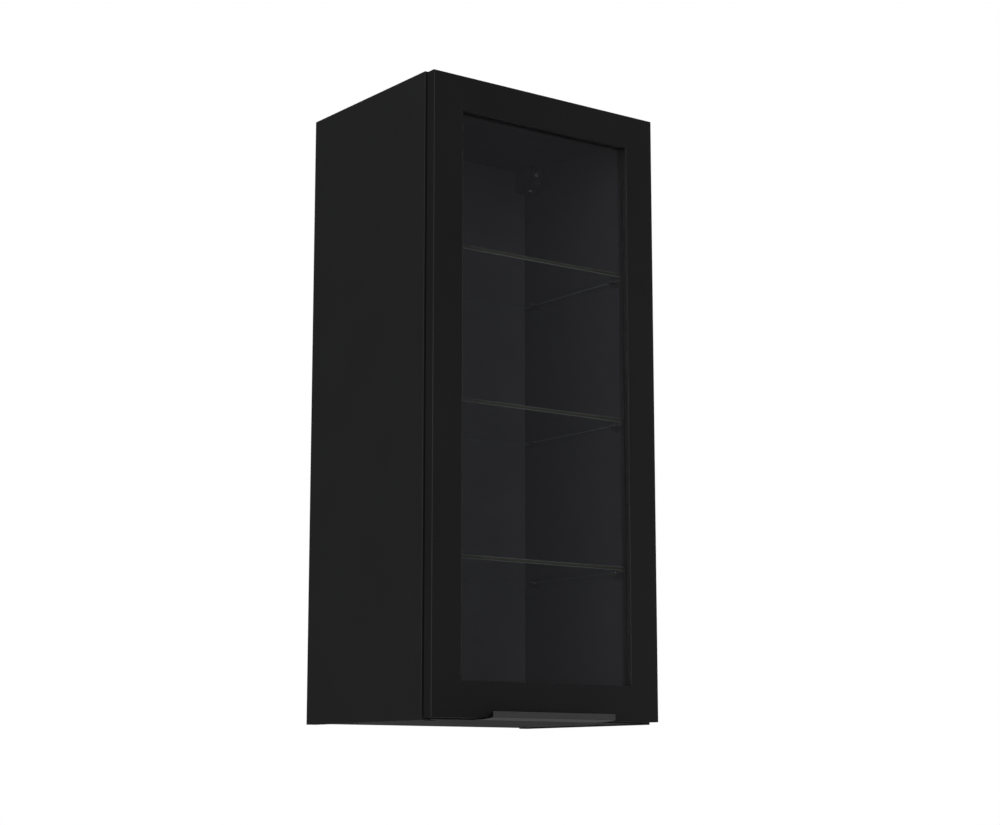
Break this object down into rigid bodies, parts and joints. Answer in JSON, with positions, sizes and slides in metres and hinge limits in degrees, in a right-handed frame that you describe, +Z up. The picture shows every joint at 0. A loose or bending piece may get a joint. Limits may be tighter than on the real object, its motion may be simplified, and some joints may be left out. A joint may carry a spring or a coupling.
{
  "type": "wall display cabinet",
  "caption": "Tall narrow wall-hung cabinet in matt black with a framed glass door, glass shelves and an edge-pull handle under the door.",
  "frame": {"origin": "on the wall plane, midway between the two hangers, at the height where their hooks bear on the wall rail", "axes": "+Z up, +Y into the wall, so the door faces -Y; +X to the right of someone facing the door"},
  "size_m": [0.4, 0.337, 0.9],
  "materials": {
    "board_laminate": "matt black melamine-faced board",
    "back_board": "matt black lacquered thin fibreboard",
    "door_foil": "soft-touch matt black foil on fibreboard",
    "bead_foil": "matt black",
    "door_glass": "clear float glass, polished",
    "shelf_glass": "clear float glass with ground green edges",
    "handle_aluminium": "brushed, anthracite anodised",
    "hinge_nickel": "nickel plated",
    "pin_steel": "bright",
    "screw_zinc": "bright zinc plated",
    "hook_steel": "zinc plated",
    "cam_zinc": "die-cast zinc",
    "support_metal": "black nickel plated",
    "hanger_plastic": "moulded, matt black",
    "black_plastic": "moulded, matt black",
    "dowel_beech": "plain beech",
    "clear_rubber": "clear soft vinyl",
    "bumper_rubber": "matt black, soft"
  },
  "bodies": {
    "carcass": {"arm_pins": "pin_steel", "arm_screws": "screw_zinc", "back_panel": "back_board", "bottom_panel": "board_laminate", "cam_bolts": "cam_zinc", "cam_covers": "black_plastic", "cam_locks": "cam_zinc", "hanger_left_hook": "hook_steel", "hanger_left_housing": "hanger_plastic", "hanger_right_hook": "hook_steel", "hanger_right_housing": "hanger_plastic", "hanger_screws": "screw_zinc", "hinge_arm_lower": "hinge_nickel", "hinge_arm_upper": "hinge_nickel", "hinge_plate_lower": "hinge_nickel", "hinge_plate_upper": "hinge_nickel", "left_side_panel": "board_laminate", "plate_screws": "screw_zinc", "right_side_panel": "board_laminate", "shelf_lower": "shelf_glass", "shelf_middle": "shelf_glass", "shelf_pads": "clear_rubber", "shelf_supports": "support_metal", "shelf_upper": "shelf_glass", "top_panel": "board_laminate", "wood_dowels": "dowel_beech"},
    "hinge_links": {"hinge_link_lower": "hinge_nickel", "hinge_link_upper": "hinge_nickel"},
    "door": {"cup_pins": "pin_steel", "cup_screws": "screw_zinc", "door_bumpers": "bumper_rubber", "door_frame": "door_foil", "door_glass": "door_glass", "glazing_bead_bottom": "bead_foil", "glazing_bead_left": "bead_foil", "glazing_bead_right": "bead_foil", "glazing_bead_top": "bead_foil", "handle_profile": "handle_aluminium", "handle_screws": "screw_zinc", "hinge_cup_lower": "hinge_nickel", "hinge_cup_upper": "hinge_nickel"}
  },
  "joints": [
    {"name": "door_swing", "type": "hinge", "parent": "hinge_links", "child": "door", "pos_m": [-0.1885, -0.3002, -0.413], "axis": [0, 0, -1], "range_deg": [0, 109.25]},
    {"name": "hinge_link_swing", "type": "hinge", "parent": "carcass", "child": "hinge_links", "pos_m": [-0.17, -0.283, -0.413], "axis": [0, 0, 1], "range_deg": [0, 15]}
  ],
  "couplings": [
    {"joint": "hinge_link_swing", "follows": "door_swing", "ratio": 0.1304}
  ]
}
